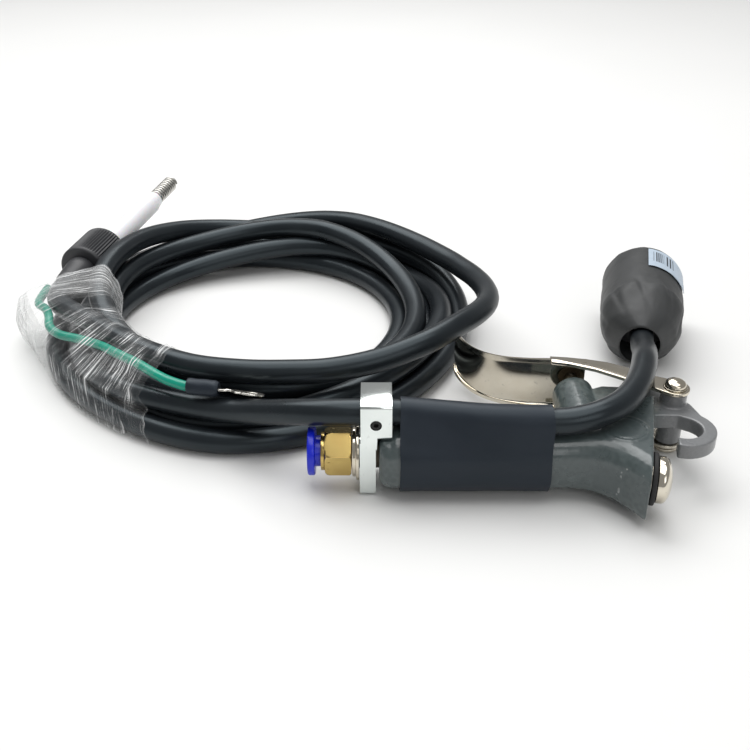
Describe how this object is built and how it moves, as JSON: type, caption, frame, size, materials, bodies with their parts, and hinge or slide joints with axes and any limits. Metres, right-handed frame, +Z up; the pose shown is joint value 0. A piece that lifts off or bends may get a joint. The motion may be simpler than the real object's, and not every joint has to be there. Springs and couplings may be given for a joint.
{
  "type": "trigger gun with supply lead",
  "caption": "Hand-held cast trigger gun with push-in air inlet, hanging hook, cable-bound grip, coiled supply lead with union connector, short lead with plug and earth wire",
  "frame": {"origin": "middle of the underside of the gun's own box (without the free leads, the coil and what is on them), on the table", "axes": "X along the handle from the air inlet to the head, Y across the gun from the head plug side to the trigger side, Z up from the table"},
  "size_m": [0.3179, 0.2943, 0.0402],
  "materials": {
    "enamel": "glossy hammered dark grey-green enamel",
    "nickel": "warm bright nickel plate",
    "chrome": "satin bright plate",
    "brass": "turned brass",
    "blue_plastic": "moulded",
    "shrink_sleeve": "heat-shrunk sleeve",
    "cable_sheath": "satin black sheath",
    "rubber": "matte",
    "steel": "bright drawn steel",
    "black_plastic": "moulded, fine grain",
    "white_plastic": "smooth white insulator",
    "green_sheath": "PVC wire sheath",
    "tinned": "tinned copper",
    "clear_film": "thin clear stretch film",
    "label": "plain printed label"
  },
  "bodies": {
    "gun": {"gun_body": "enamel", "head_plug": "nickel", "plug_gasket": "rubber", "valve_gland": "brass", "valve_seal": "rubber", "valve_seat": "brass", "valve_spring": "steel", "pivot_pin": "nickel", "pivot_cap": "nickel", "pivot_washer": "nickel", "base_bracket": "chrome", "clamp_screw": "steel", "inlet_nipple": "brass", "inlet_locknut": "nickel", "fitting_body": "brass", "fitting_end_ring": "brass", "grip_sleeve": "shrink_sleeve", "held_cable": "cable_sheath", "short_lead": "cable_sheath", "plug_shroud": "shrink_sleeve", "plug_core": "white_plastic", "plug_contact": "steel", "plug_label": "label", "lead_in": "cable_sheath", "lead_top_turn": "cable_sheath", "cable_coil": "cable_sheath", "connector_boot": "black_plastic", "insulator_rod": "white_plastic", "contact_spring": "steel", "contact_core": "steel", "earth_wire": "green_sheath", "earth_sleeve": "shrink_sleeve", "earth_lug": "tinned", "film_wrap": "clear_film"},
    "trigger": {"trigger": "nickel"},
    "valve_stem": {"valve_stem": "steel"},
    "release_collet": {"release_collet": "blue_plastic"},
    "union_nut": {"union_nut": "black_plastic"}
  },
  "joints": [
    {"name": "trigger_pivot", "type": "hinge", "parent": "gun", "child": "trigger", "pos_m": [0.06606, 0.00044, 0.0155], "axis": [0, 0, 1], "range_deg": [0, 8], "stiffness_Nm_per_rad": 0.4, "springref_deg": -17.19},
    {"name": "valve_stem_slide", "type": "slide", "parent": "gun", "child": "valve_stem", "axis": [0, -1, 0], "range_m": [0, 0.0055], "stiffness_N_per_m": 400, "springref_m": -0.002, "deforming": ["valve_spring"]},
    {"name": "collet_slide", "type": "slide", "parent": "gun", "child": "release_collet", "axis": [1, 0, 0], "range_m": [0, 0.0012], "stiffness_N_per_m": 800, "springref_m": -0.0006},
    {"name": "union_nut_spin", "type": "hinge", "parent": "gun", "child": "union_nut", "pos_m": [-0.19984, 0.12354, 0.024], "axis": [0.2071, 0.9775, 0.04], "continuous": true}
  ],
  "couplings": [
    {"joint": "valve_stem_slide", "follows": "trigger_pivot", "m_per_rad": 0.0368}
  ]
}
